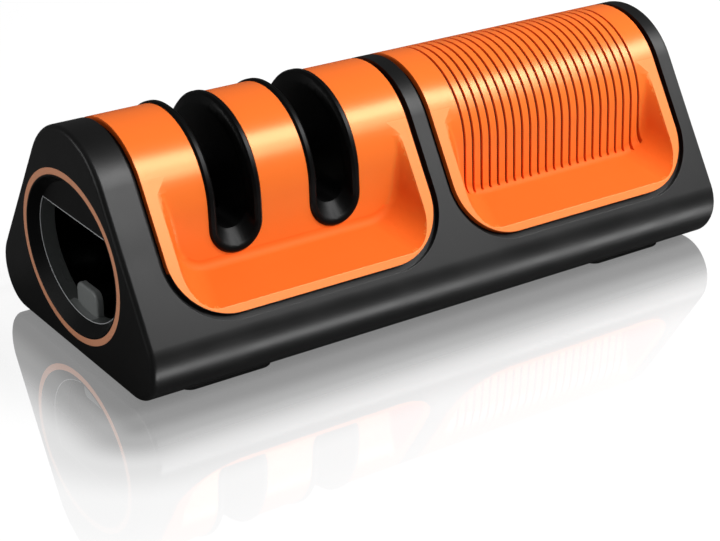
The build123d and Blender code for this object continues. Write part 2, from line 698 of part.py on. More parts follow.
# Screws through the cradle into the base plate
with BuildPart() as cradle_screws:
    with BuildSketch(level(foot_up)):
        with Locations((STAGE_MIDDLE, 0)):
            with GridLocations(STAGE_SPREAD, 2 * CRADLE_SCREW_Y, 2, 2):
                Circle(HEAD_R)
    extrude(amount=HEAD_T)
    with BuildSketch(level(foot_up)):
        with Locations((STAGE_MIDDLE, 0)):
            with GridLocations(STAGE_SPREAD, 2 * CRADLE_SCREW_Y, 2, 2):
                Circle(SCREW_R)
    extrude(amount=-CRADLE_SCREW_L)
    with BuildSketch(level(foot_up + HEAD_T)):
        with Locations((STAGE_MIDDLE, 0)):
            with GridLocations(STAGE_SPREAD, 2 * CRADLE_SCREW_Y, 2, 2):
                Rectangle(DRIVE_L, DRIVE_W)
                Rectangle(DRIVE_W, DRIVE_L)
    extrude(amount=-DRIVE_DEEP, mode=Mode.SUBTRACT)
cradle_screws.part.label = "cradle_screws"
export_step(cradle_screws.part, "parts/cradle_screws.step")

# The four feet, pressed into shallow seats in the underside
for name, side_x, side_y in (
    ("foot_front_left", -1, -1),
    ("foot_front_right", 1, -1),
    ("foot_back_left", -1, 1),
    ("foot_back_right", 1, 1),
):
    with BuildPart() as foot:
        with BuildSketch(level(-FOOT_DROP)):
            with Locations((side_x * FOOT_X, side_y * FOOT_Y)):
                RectangleRounded(FOOT_L, FOOT_W, FOOT_CORNER)
        extrude(amount=FOOT_DROP + FOOT_SEAT)
        chamfer(foot.edges().group_by(Axis.Z)[0], FOOT_CHAMFER)
    foot.part.label = name
    export_step(foot.part, f"parts/{name}.step")

# The moving sets: an axle with two coned discs, a spacer between them and a clip at either end
for stage, x in SLOT_X.items():
    bore = AXLE_R + SEAT_FIT
    cone_out = SPACER_HALF + (DISC_R - VEE_R) * tan(radians(VEE_ANGLE[stage]))
    stage_plane = Plane.YZ.offset(x)

    with BuildPart() as axle:
        with BuildSketch(across(x - AXLE_HALF)):
            with Locations((0, AXLE_UP)):
                Circle(AXLE_R)
        extrude(amount=2 * AXLE_HALF)
        chamfer(axle.edges().filter_by(GeomType.CIRCLE), AXLE_CHAMFER)
        with BuildSketch(across(x - CLIP_IN - CLIP_T - CLIP_PLAY), across(x + CLIP_IN - CLIP_PLAY)):
            with Locations((0, AXLE_UP)):
                Circle(DISC_R)
                Circle(CLIP_BORE_R, mode=Mode.SUBTRACT)
        extrude(amount=CLIP_T + 2 * CLIP_PLAY, mode=Mode.SUBTRACT)
    axle.part.label = f"{stage}_axle"
    export_step(axle.part, f"parts/{stage}_axle.step")

    right_disc = turned(
        [
            (x + SPACER_HALF, bore),
            (x + SPACER_HALF, VEE_R),
            (x + cone_out, DISC_R),
            (x + DISC_OUT - DISC_CHAMFER, DISC_R),
            (x + DISC_OUT, DISC_R - DISC_CHAMFER),
            (x + DISC_OUT, HUB_R),
            (x + HUB_OUT, HUB_R),
            (x + HUB_OUT, bore),
        ]
    )
    with BuildPart() as disc:
        add(right_disc)
    disc.part.label = f"{stage}_disc_right"
    export_step(disc.part, f"parts/{stage}_disc_right.step")
    with BuildPart() as other_disc:
        mirror(right_disc, about=stage_plane)
    other_disc.part.label = f"{stage}_disc_left"
    export_step(other_disc.part, f"parts/{stage}_disc_left.step")

    with BuildPart() as spacer:
        with BuildSketch(across(x - SPACER_HALF)):
            with Locations((0, AXLE_UP)):
                Circle(SPACER_R)
                Circle(bore, mode=Mode.SUBTRACT)
        extrude(amount=2 * SPACER_HALF)
    spacer.part.label = f"{stage}_spacer"
    export_step(spacer.part, f"parts/{stage}_spacer.step")

    flange_in = CHEEK_IN - BUSH_FLANGE_T
    right_bush = turned(
        [
            (x + flange_in, AXLE_R + RUNNING_FIT),
            (x + flange_in, BUSH_FLANGE_R),
            (x + CHEEK_IN, BUSH_FLANGE_R),
            (x + CHEEK_IN, BUSH_R),
            (x + CHEEK_OUT, BUSH_R),
            (x + CHEEK_OUT, AXLE_R + RUNNING_FIT),
        ]
    )
    with BuildPart() as bushes:
        add(right_bush)
        mirror(about=stage_plane)
    bushes.part.label = f"{stage}_bushes"
    export_step(bushes.part, f"parts/{stage}_bushes.step")

    with BuildPart() as clips:
        with BuildSketch(across(x + CLIP_IN)):
            with Locations((0, AXLE_UP)):
                Circle(CLIP_R)
                Circle(CLIP_BORE_R + SEAT_FIT, mode=Mode.SUBTRACT)
                Rectangle(
                    CLIP_MOUTH, 2 * CLIP_R, align=(Align.CENTER, Align.MAX), mode=Mode.SUBTRACT
                )
        extrude(amount=CLIP_T)
        mirror(about=stage_plane)
    clips.part.label = f"{stage}_clips"
    export_step(clips.part, f"parts/{stage}_clips.step")
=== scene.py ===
import json
import logging
import math
from dataclasses import dataclass, replace
from enum import Enum, IntEnum

import bmesh
import bpy
from mathutils import Matrix, Vector

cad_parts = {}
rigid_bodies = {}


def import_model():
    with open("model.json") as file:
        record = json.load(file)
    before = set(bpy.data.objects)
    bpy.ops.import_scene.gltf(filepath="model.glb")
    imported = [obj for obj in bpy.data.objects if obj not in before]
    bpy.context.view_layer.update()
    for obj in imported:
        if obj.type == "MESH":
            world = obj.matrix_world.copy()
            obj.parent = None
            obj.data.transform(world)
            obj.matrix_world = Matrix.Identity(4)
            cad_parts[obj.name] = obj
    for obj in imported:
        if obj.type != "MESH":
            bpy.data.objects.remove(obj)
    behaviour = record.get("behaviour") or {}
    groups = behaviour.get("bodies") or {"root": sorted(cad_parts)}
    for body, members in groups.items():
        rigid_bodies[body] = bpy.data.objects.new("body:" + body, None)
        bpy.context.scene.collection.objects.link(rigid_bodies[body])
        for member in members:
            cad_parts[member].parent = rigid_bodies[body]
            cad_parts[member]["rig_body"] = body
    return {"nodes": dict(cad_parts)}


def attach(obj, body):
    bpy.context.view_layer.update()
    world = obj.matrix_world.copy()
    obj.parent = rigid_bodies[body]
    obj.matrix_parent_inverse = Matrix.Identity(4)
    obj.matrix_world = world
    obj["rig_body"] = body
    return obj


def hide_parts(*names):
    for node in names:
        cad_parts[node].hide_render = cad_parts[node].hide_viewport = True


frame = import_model()

log = logging.getLogger("sharpener")

Colour = tuple[float, float, float]
Point = tuple[float, float, float]
Socket = bpy.types.NodeSocket

# How a copy of a CAD mesh is merged and shaded, in metres and degrees.
WELD_REACH = 2e-6
SLIVER_LENGTH = 1e-7
FLAT_TURN = 0.15
FACE_WEIGHT = 90

# The edges of a chamfer turn by this many degrees, and are rounded over in a few steps.
CHAMFER_TURN = (38.0, 52.0)
CHAMFER_STEPS = 3
ROUND_PROFILE = 0.5

# The broad pattern of every finish: its repeats in a metre, and the values that the gloss follows.
BROAD_REPEATS = 60.0
BROAD_SPAN = (0.3, 0.7)

# The fine patterns: their octaves, and how turned rings are drawn out across the axle.
NOISE_OCTAVES = 2.0
RING_OCTAVES = 1.0
RING_STRETCH = (1.0, 0.04, 0.04)

# How strongly the fine pattern shows, and how smoothly light turns at an edge.
RELIEF_STRENGTH = 0.6
EDGE_SAMPLES = 6


class Skin(Enum):
    """The small-scale texture that a finish carries."""

    MOULDED = "fine and even, as a mould or a press leaves it"
    TURNED = "rings about the axle"
    GRIT = "bonded abrasive grains"


class CoverSkin(IntEnum):
    """The places of the finishes in a cover's list of materials."""

    GLOSS = 0
    # Satin pockets, their orange darker as painted shade.
    SATIN_SHADED = 1
    # Rims, their orange lighter as painted light.
    RIM_LIT = 2
    # Grooves, coloured dark as painted shade.
    GROOVE_SHADE = 3
    # Hidden inner faces, coloured near black as painted shade.
    INSIDE = 4


def grey(level: float) -> tuple[float, float, float, float]:
    """Gives an even grey of a level from 0 to 1, opaque."""
    return level, level, level, 1.0


def maths(tree: bpy.types.NodeTree, operation: str, a: Socket, b: Socket | float) -> Socket:
    """Works out one value from two in a node tree.

    Args:
        tree: The node tree.
        operation: The kind of sum.
        a: The first value.
        b: The second value, a socket or a number.

    Returns:
        The result.
    """
    node = tree.nodes.new("ShaderNodeMath")
    node.operation = operation
    tree.links.new(a, node.inputs[0])
    if isinstance(b, float):
        node.inputs[1].default_value = b
    else:
        tree.links.new(b, node.inputs[1])
    return node.outputs[0]


def added(name: str, shape: bpy.types.ID) -> bpy.types.Object:
    """Adds an object to the scene.

    Args:
        name: The object's name.
        shape: Its mesh, curve, lamp or camera.

    Returns:
        The object, at the origin.
    """
    thing = bpy.data.objects.new(name, shape)
    bpy.context.scene.collection.objects.link(thing)
    return thing


def as_mesh(thing: bpy.types.Object) -> bpy.types.Mesh:
    """Gives the mesh that an object shows, with its modifiers worked in."""
    graph = bpy.context.evaluated_depsgraph_get()
    return bpy.data.meshes.new_from_object(thing.evaluated_get(graph))


def linear(colour: Colour) -> Colour:
    """Turns a display colour into the light values that a shader takes, by the sRGB curve.

    Args:
        colour: Red, green and blue from 0 to 255, as seen on a screen.

    Returns:
        The same colour as linear values from 0 to 1.
    """
    out = []
    for channel in colour:
        value = channel / 255.0
        out.append(value / 12.92 if value <= 0.04045 else ((value + 0.055) / 1.055) ** 2.4)
    return out[0], out[1], out[2]


@dataclass(frozen=True)
class Finish:
    """A surface finish: its colour, its gloss and the texture that its skin carries."""

    name: str
    colour: Colour
    roughness: float
    grain: float
    depth: float
    skin: Skin = Skin.MOULDED
    mottle: float = 0.04
    tint: float = 0.04
    metallic: float = 0.0
    specular: float = 0.5
    edge: float = 0.00025
    gloss_colour: Colour = (255, 255, 255)

    def material(self) -> bpy.types.Material:
        """Builds the finish as a node material, or returns the one already built.

        Returns:
            The material, named for the finish.
        """
        found = bpy.data.materials.get(self.name)
        if found is not None:
            return found
        material = bpy.data.materials.new(self.name)
        material.use_nodes = True
        tree = material.node_tree
        shader = tree.nodes["Principled BSDF"]
        shader.inputs["Metallic"].default_value = self.metallic
        shader.inputs["Specular IOR Level"].default_value = self.specular
        shader.inputs["Specular Tint"].default_value = (*linear(self.gloss_colour), 1.0)
        place = tree.nodes.new("ShaderNodeTexCoord").outputs["Object"]
        fine = self._fine_pattern(tree, place)
        broad = self._noise(tree, place, BROAD_REPEATS, NOISE_OCTAVES)
        self._colour(tree, shader, broad, fine)
        self._roughness(tree, shader, broad)
        self._relief(tree, shader, fine)
        return material

    def _noise(
        self, tree: bpy.types.NodeTree, place: Socket, repeats: float, octaves: float
    ) -> Socket:
        """Adds a noise pattern.

        Args:
            tree: The material's nodes.
            place: Where the pattern reads its coordinates.
            repeats: Repeats in a metre.
            octaves: Octaves of finer noise.

        Returns:
            The socket that gives the pattern's value.
        """
        noise = tree.nodes.new("ShaderNodeTexNoise")
        noise.inputs["Scale"].default_value = repeats
        noise.inputs["Detail"].default_value = octaves
        tree.links.new(place, noise.inputs["Vector"])
        return noise.outputs["Fac"]

    def _fine_pattern(self, tree: bpy.types.NodeTree, place: Socket) -> Socket:
        """Adds the skin's own pattern, which its relief follows.

        Args:
            tree: The material's nodes.
            place: Where the pattern reads its coordinates.

        Returns:
            The socket that gives the pattern's value.
        """
        if self.skin is Skin.GRIT:
            grains = tree.nodes.new("ShaderNodeTexVoronoi")
            grains.feature = "F1"
            grains.inputs["Scale"].default_value = 1.0 / self.grain
            tree.links.new(place, grains.inputs["Vector"])
            return grains.outputs["Distance"]
        if self.skin is Skin.TURNED:
            squash = tree.nodes.new("ShaderNodeMapping")
            squash.inputs["Scale"].default_value = RING_STRETCH
            tree.links.new(place, squash.inputs["Vector"])
            return self._noise(tree, squash.outputs["Vector"], 1.0 / self.grain, RING_OCTAVES)
        return self._noise(tree, place, 1.0 / self.grain, NOISE_OCTAVES)

    def _colour(
        self, tree: bpy.types.NodeTree, shader: bpy.types.Node, broad: Socket, fine: Socket
    ) -> None:
        """Varies the colour a little over the surface, and from grain to grain on grit.

        Args:
            tree: The material's nodes.
            shader: The surface shader.
            broad: A slow pattern.
            fine: The skin's own pattern.
        """
        base = linear(self.colour)
        mix = tree.nodes.new("ShaderNodeMix")
        mix.data_type = "RGBA"
        for end, shift in (("A", 1 - self.tint), ("B", 1 + self.tint)):
            mix.inputs[end].default_value = (*(min(part * shift, 1.0) for part in base), 1.0)
        tree.links.new(fine if self.skin is Skin.GRIT else broad, mix.inputs["Factor"])
        tree.links.new(mix.outputs["Result"], shader.inputs["Base Color"])

    def _roughness(
        self, tree: bpy.types.NodeTree, shader: bpy.types.Node, broad: Socket
    ) -> None:
        """Varies the gloss a little over the surface.

        Args:
            tree: The material's nodes.
            shader: The surface shader.
            broad: A slow pattern.
        """
        spread = tree.nodes.new("ShaderNodeMapRange")
        spread.interpolation_type = "SMOOTHSTEP"
        spread.inputs["From Min"].default_value = BROAD_SPAN[0]
        spread.inputs["From Max"].default_value = BROAD_SPAN[1]
        spread.inputs["To Min"].default_value = self.roughness - self.mottle
        spread.inputs["To Max"].default_value = self.roughness + self.mottle
        tree.links.new(broad, spread.inputs["Value"])
        tree.links.new(spread.outputs["Result"], shader.inputs["Roughness"])

    def _relief(self, tree: bpy.types.NodeTree, shader: bpy.types.Node, fine: Socket) -> None:
        """Raises the skin's pattern and softens the light on sharp edges.

        Args:
            tree: The material's nodes.
            shader: The surface shader.
            fine: The skin's own pattern.
        """
        bump = tree.nodes.new("ShaderNodeBump")
        bump.inputs["Strength"].default_value = RELIEF_STRENGTH
        bump.inputs["Distance"].default_value = self.depth
        tree.links.new(fine, bump.inputs["Height"])
        if self.edge > 0:
            round_edge = tree.nodes.new("ShaderNodeBevel")
            round_edge.samples = EDGE_SAMPLES
            round_edge.inputs["Radius"].default_value = self.edge
            tree.links.new(round_edge.outputs["Normal"], bump.inputs["Normal"])
        tree.links.new(bump.outputs["Normal"], shader.inputs["Normal"])


BODY_BLACK = Finish(
    "body_black", (18, 18, 18), 0.38, grain=0.00035, depth=0.000004, specular=0.31
)
COVER_ORANGE = Finish(
    "cover_orange",
    (252, 118, 42),
    0.26,
    grain=0.0004,
    depth=0.000002,
    mottle=0.01,
    tint=0.02,
    specular=0.8,
    gloss_colour=(255, 236, 178),
)
# Painted shade: the pockets' orange is a darker copy of the covers' orange, for the shade in the
# recesses; its satin gloss is real.
POCKET_SHADED_ORANGE = replace(
    COVER_ORANGE, name="pocket_orange_painted_shade", colour=(250, 104, 31), roughness=0.55, specular=0.25
)
# Painted light: the rims' orange is a slightly lighter copy of the covers' orange, for the light
# the rims catch; its rougher gloss is real.
RIM_LIT_ORANGE = replace(COVER_ORANGE, name="rim_orange_painted_light", colour=(252, 122, 48), roughness=0.29)
# Painted shade: the grip's groove faces are coloured dark brown for the shade that gathers in
# them.
GROOVE_PAINTED_SHADE = Finish("groove_painted_shade", (84, 26, 8), 0.6, grain=0.0004, depth=0.000002)
# Painted shade: the stage cover's hidden inner faces, seen through the end window, are coloured
# near black for the shade inside the body.
COVER_INSIDE_PAINTED_SHADE = Finish("cover_inside_painted_shade", (30, 16, 10), 0.7, grain=0.0004, depth=0.000002)
LINER_BLACK = Finish(
    "liner_black", (9, 9, 9), 0.34, grain=0.0012, depth=0.000002, specular=0.13
)
RING_ORANGE = Finish("ring_orange", (232, 160, 122), 0.42, grain=0.0004, depth=0.000004)
BEZEL_BLACK = Finish("bezel_black", (9, 9, 9), 0.4, grain=0.0005, depth=0.000004, specular=0.24)
# Painted light: the black bezel's tunnel faces are coloured grey for the light that its inner
# walls catch and reflect.
TUNNEL_LIT_GREY = Finish("tunnel_painted_light", (82, 85, 84), 0.3, grain=0.0008, depth=0.000004)
# Painted highlight: a thin light grey tube along the window's edge, for the light its rim catches.
EDGE_HIGHLIGHT_GREY = Finish("edge_painted_highlight", (196, 198, 200), 0.3, grain=0.0008, depth=0.000001)
# Painted highlight: the lug is a lighter copy of the tunnel's grey.
LUG_HIGHLIGHT_GREY = replace(TUNNEL_LIT_GREY, name="lug_painted_highlight", colour=(128, 131, 130))
BASE_BLACK = Finish("base_black", (30, 30, 31), 0.5, grain=0.0006, depth=0.00001)
CRADLE_GREY = Finish("cradle_grey", (96, 98, 100), 0.45, grain=0.0005, depth=0.000006)
FOOT_RUBBER = Finish("foot_rubber", (150, 151, 152), 0.7, grain=0.0007, depth=0.00001)
AXLE_STEEL = Finish(
    "axle_steel",
    (186, 187, 190),
    0.24,
    grain=0.0003,
    depth=0.000004,
    skin=Skin.TURNED,
    metallic=1.0,
    edge=0.0001,
)
BUSH_BRASS = replace(AXLE_STEEL, name="bush_brass", colour=(196, 160, 92), roughness=0.3)
SCREW_STEEL = Finish(
    "screw_steel",
    (176, 178, 180),
    0.32,
    grain=0.0009,
    depth=0.000006,
    metallic=1.0,
    edge=0.0001,
)
COARSE_GRIT = Finish(
    "coarse_grit",
    (70, 68, 65),
    0.7,
    grain=0.00035,
    depth=0.00008,
    skin=Skin.GRIT,
    tint=0.35,
    edge=0.0,
)
FINE_GRIT = replace(
    COARSE_GRIT,
    name="fine_grit",
    colour=(150, 146, 138),
    roughness=0.6,
    grain=0.00018,
    depth=0.00003,
    tint=0.2,
)


def dressed(
    node: str, finish: Finish, crease: float = 32.0, eased: float = 0.0
) -> bpy.types.Object:
    """Makes a smooth-shaded copy of a CAD node that stands for it.

    Args:
        node: The CAD node's name.
        finish: What the copy is made of.
        crease: Edges that turn by more than this many degrees stay sharp.
        eased: How far chamfered edges are rounded over, or 0 to leave them.

    Returns:
        The copy, riding on the node's own body.
    """
    source = frame["nodes"][node]
    mesh = source.data.copy()
    mesh.name = f"{node}_skin"
    shell = bmesh.new()
    shell.from_mesh(mesh)
    bmesh.ops.remove_doubles(shell, verts=shell.verts, dist=WELD_REACH)
    bmesh.ops.dissolve_degenerate(shell, edges=shell.edges, dist=SLIVER_LENGTH)
    bmesh.ops.dissolve_limit(
        shell,
        angle_limit=math.radians(FLAT_TURN),
        use_dissolve_boundaries=False,
        verts=shell.verts,
        edges=shell.edges,
    )
    if eased > 0:
        round_over(shell, eased)
    shell.to_mesh(mesh)
    shell.free()
    if "custom_normal" in mesh.attributes:
        mesh.attributes.remove(mesh.attributes["custom_normal"])
    mesh.shade_smooth()
    mesh.set_sharp_from_angle(angle=math.radians(crease))
    piece = added(f"{node}_skin", mesh)
    weights = piece.modifiers.new("even_shade", "WEIGHTED_NORMAL")
    weights.keep_sharp = True
    weights.weight = FACE_WEIGHT
    made = as_mesh(piece)
    piece.modifiers.clear()
    piece.data = made
    piece.data.materials.clear()
    piece.data.materials.append(finish.material())
    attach(piece, source["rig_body"])
    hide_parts(node)
    log.info("%s stands for %s: %d faces", piece.name, node, len(piece.data.polygons))
    return piece


def round_over(shell: bmesh.types.BMesh, reach: float) -> None:
    """Rounds the two edges of every chamfer.

    Args:
        shell: The merged mesh, changed in place.
        reach: How far the rounding goes to each side of an edge.
    """
    low, high = (math.radians(turn) for turn in CHAMFER_TURN)
    turns = [edge for edge in shell.edges if len(edge.link_faces) == 2]
    chosen = [edge for edge in turns if low < edge.calc_face_angle(0.0) < high and edge.is_convex]
    bmesh.ops.bevel(
        shell,
        geom=chosen,
        offset=reach,
        offset_type="OFFSET",
        segments=CHAMFER_STEPS,
        profile=ROUND_PROFILE,
        affect="EDGES",
        clamp_overlap=True,
    )


@dataclass
class Housing:
    """The black moulded body with its base plate and feet."""

    feet: tuple[str, ...] = (
        "foot_front_left",
        "foot_front_right",
        "foot_back_left",
        "foot_back_right",
    )

    def build(self) -> list[bpy.types.Object]:
        """Dresses the housing, the plate and the feet.

        Returns:
            The pieces made.
        """
        pieces = [
            dressed("housing_shell", BODY_BLACK),
            dressed("base_plate", BASE_BLACK),
        ]
        pieces += [dressed(foot, FOOT_RUBBER) for foot in self.feet]
        return pieces


@dataclass
class Covers:
    """The two orange saddle covers, satin in their pockets and glossy outside them, with painted
    shade in the pockets, grooves and hidden inner faces, and painted light on the rims.
    """

    # The body's outline, a ridge with two slopes, and how far under it a face is sunk.
    ridge_radius: float = 0.0229
    ridge_up: float = 0.0411
    slope_tilt: float = 32.1
    skin_depth: float = 0.0003
    # The neck that the grip's grooves run over.
    neck_draft: float = 3.0
    neck_root: float = 0.0315
    groove_depth: float = 0.0008
    groove_left: float = 0.0152
    groove_right: float = 0.0803
    # The wall inside the end window, and how squarely its hidden faces turn away.
    end_wall: tuple[float, float] = (-0.0832, -0.066)
    facing_in: float = 0.05
    facing_home: float = 0.9
    facing_down: float = 0.2

    def build(self) -> list[bpy.types.Object]:
        """Dresses both covers.

        Returns:
            The pieces made.
        """
        stage = dressed("stage_cover", COVER_ORANGE)
        grip = dressed("grip_cover", COVER_ORANGE)
        for cover in (stage, grip):
            for finish in (POCKET_SHADED_ORANGE, RIM_LIT_ORANGE, GROOVE_PAINTED_SHADE, COVER_INSIDE_PAINTED_SHADE):
                cover.data.materials.append(finish.material())
        for face in stage.data.polygons:
            inside = self._hidden(face)
            # Faces on the inner side take the painted shade.
            face.material_index = CoverSkin.INSIDE if inside else self._skin(face)
        for face in grip.data.polygons:
            grooved = self._in_groove(face)
            # Groove faces take the dark painted shade.
            face.material_index = CoverSkin.GROOVE_SHADE if grooved else self._skin(face)
        return [stage, grip]

    def _skin(self, face: bpy.types.MeshPolygon) -> CoverSkin:
        """Chooses the finish of a face that isn't in a groove.

        Args:
            face: A face of a cover.

        Returns:
            The crown's gloss, the pocket's satin in a darker orange for painted shade, or the
            rim's lighter orange for painted light.
        """
        on_neck = abs(self._sunk(face.center)) < self.skin_depth
        if on_neck and face.center.z > self.neck_root:
            return CoverSkin.GLOSS
        deep = self._depth(face.center) > self.skin_depth
        # Pocket faces take the darker orange (painted shade), rim faces the lighter one (painted
        # light).
        return CoverSkin.SATIN_SHADED if deep else CoverSkin.RIM_LIT

    def _hidden(self, face: bpy.types.MeshPolygon) -> bool:
        """Tells whether a face is on the inner side, where only the end window shows it.

        Args:
            face: A face of the stage's cover.

        Returns:
            True for a face of the inner side.
        """
        if self._depth(face.center) < self.skin_depth:
            return False
        low, high = self.end_wall
        turned_in = low < face.center.x < high and face.normal.x < -self.facing_in
        homeward = face.center.y * face.normal.y < 0
        turned_home = homeward and abs(face.normal.y) > self.facing_home
        return turned_in or turned_home or face.normal.z < -self.facing_down

    def _depth(self, point: Vector) -> float:
        """Tells how far a point lies under the body's rounded triangle.

        Args:
            point: A point of a cover.

        Returns:
            The depth in metres.
        """
        out, up = abs(point.y), point.z - self.ridge_up
        tilt = math.radians(self.slope_tilt)
        if math.atan2(out, up) < math.pi / 2 - tilt:
            return self.ridge_radius - math.hypot(out, up)
        return self.ridge_radius - out * math.cos(tilt) - up * math.sin(tilt)

    def _in_groove(self, face: bpy.types.MeshPolygon) -> bool:
        """Tells whether a face of the grip lies on the floor or a side of one of its grooves."""
        in_row = self.groove_left < face.center.x < self.groove_right
        return in_row and self.skin_depth < self._sunk(face.center) < self.groove_depth

    def _sunk(self, point: Vector) -> float:
        """Tells how far a point lies under the neck's own surface.

        Args:
            point: A point of a cover.

        Returns:
            The depth in metres, below 0 outside the neck.
        """
        side, under = abs(point.y), self.ridge_up - point.z
        if under < 0:
            return self.ridge_radius - math.hypot(side, under)
        return self.ridge_radius - side + under * math.tan(math.radians(self.neck_draft))


@dataclass
class EndTrim:
    """The left end's oval ring and dished bezel, whose window tunnel is painted grey for the light
    on its inner walls.
    """

    # The window in the dish: an oval with a straight top.
    dish_floor_x: float = -0.09215
    window_y: float = 0.0229
    window_z: float = 0.0185
    window_up: float = 0.0292
    window_top: float = 0.0381
    # The lug on its lower edge.
    lug_y: float = 0.0024
    lug_half: float = 0.0058
    lug_top: float = 0.0177
    slack: float = 0.0001
    bezel_crease: float = 28.0
    # The painted highlight round it: a thin light tube.
    edge_radius: float = 0.00013
    edge_steps: int = 96
    edge_roundness: int = 2

    def build(self) -> list[bpy.types.Object]:
        """Dresses the ring and the bezel, and lays a painted highlight along the window's edge.

        Returns:
            The pieces made.
        """
        ring = dressed("end_ring", RING_ORANGE)
        bezel = dressed("end_bezel", BEZEL_BLACK, self.bezel_crease)
        self._paint_tunnel_light(bezel)
        return [ring, bezel, self._window_edge()]

    def _paint_tunnel_light(self, bezel: bpy.types.Object) -> None:
        """Paints the tunnel behind the dish grey, as painted light on its walls, and the lug in it
        a lighter grey, as a painted highlight.

        Args:
            bezel: The dressed bezel.
        """
        bezel.data.materials.append(TUNNEL_LIT_GREY.material())
        bezel.data.materials.append(LUG_HIGHLIGHT_GREY.material())
        # Slots of the painted light on the tunnel and of the painted highlight on the lug.
        tunnel, lug = 1, 2
        for face in bezel.data.polygons:
            if face.center.x > self.dish_floor_x + self.slack:
                beside = abs(face.center.y - self.lug_y) < self.lug_half + self.slack
                on_lug = beside and face.center.z < self.lug_top
                face.material_index = lug if on_lug else tunnel

    def _window_line(self) -> list[Vector]:
        """Works out the line round the window.

        Returns:
            Points along the oval and its straight top, in order.
        """
        rise = (self.window_top - self.window_up) / self.window_z
        start = math.asin(rise)
        span = math.pi + 2 * start
        line = []
        for i in range(self.edge_steps + 1):
            angle = math.pi - start + span * i / self.edge_steps
            side = self.window_y * math.cos(angle)
            up = self.window_up + self.window_z * math.sin(angle)
            line.append(Vector((self.dish_floor_x, side, up)))
        return line

    def _window_edge(self) -> bpy.types.Object:
        """Lays a fine light tube along the window's moulded edge as a painted highlight.

        Returns:
            The piece, riding on the body.
        """
        curve = bpy.data.curves.new("window_edge_highlight", "CURVE")
        curve.dimensions = "3D"
        curve.bevel_depth = self.edge_radius
        curve.bevel_resolution = self.edge_roundness
        line = self._window_line()
        spline = curve.splines.new("POLY")
        spline.points.add(len(line) - 1)
        for point, place in zip(spline.points, line):
            point.co = (*place, 1.0)
        spline.use_cyclic_u = True
        swept = added("window_edge_highlight", curve)
        mesh = as_mesh(swept)
        bpy.data.objects.remove(swept)
        piece = added("window_edge_highlight", mesh)
        mesh.shade_smooth()
        mesh.materials.clear()
        mesh.materials.append(EDGE_HIGHLIGHT_GREY.material())
        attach(piece, "body")
        log.info("%s: %d faces", piece.name, len(mesh.polygons))
        return piece


@dataclass
class SharpeningStage:
    """One slot: its liner, and the disc set that turns below it."""

    name: str
    grit: Finish
    lip_crease: float = 30.0
    lip_ease: float = 0.00003

    def build(self) -> list[bpy.types.Object]:
        """Dresses the liner and every piece of the disc set.

        Returns:
            The pieces made.
        """
        liner = f"{self.name}_liner"
        pieces = [dressed(liner, LINER_BLACK, self.lip_crease, self.lip_ease)]
        for part in ("axle", "spacer", "clips"):
            pieces.append(dressed(f"{self.name}_{part}", AXLE_STEEL))
        pieces.append(dressed(f"{self.name}_bushes", BUSH_BRASS))
        for part in ("disc_left", "disc_right"):
            pieces.append(dressed(f"{self.name}_{part}", self.grit))
        return pieces


@dataclass
class Cradle:
    """The grey cradle under the discs."""

    def build(self) -> list[bpy.types.Object]:
        """Dresses the cradle, which is one piece."""
        return [dressed("wheel_cradle", CRADLE_GREY)]


@dataclass(frozen=True)
class ScrewSet:
    """The sizes of one kind of cross-recessed screw and of its two-by-two pattern."""

    spread: tuple[float, float]
    place: Point
    turned_over: bool
    shank_length: float
    head_radius: float = 0.0025
    head_height: float = 0.0011
    drive_length: float = 0.0026
    drive_width: float = 0.0006
    drive_depth: float = 0.0006
    shank_radius: float = 0.0012
    thread_pitch: float = 0.0007
    thread_rise: float = 0.0002

    def inputs(self) -> dict[str, float | Point]:
        """Names every size as the screw pattern's inputs do.

        Returns:
            The value of each input.
        """
        return {
            "Spread X": self.spread[0],
            "Spread Y": self.spread[1],
            "Place": self.place,
            "Turn": (math.pi if self.turned_over else 0.0, 0.0, 0.0),
            "Shank Length": self.shank_length,
            "Head Radius": self.head_radius,
            "Head Height": self.head_height,
            "Drive Length": self.drive_length,
            "Drive Width": self.drive_width,
            "Drive Depth": self.drive_depth,
            "Shank Radius": self.shank_radius,
            "Thread Pitch": self.thread_pitch,
            "Thread Rise": self.thread_rise,
        }


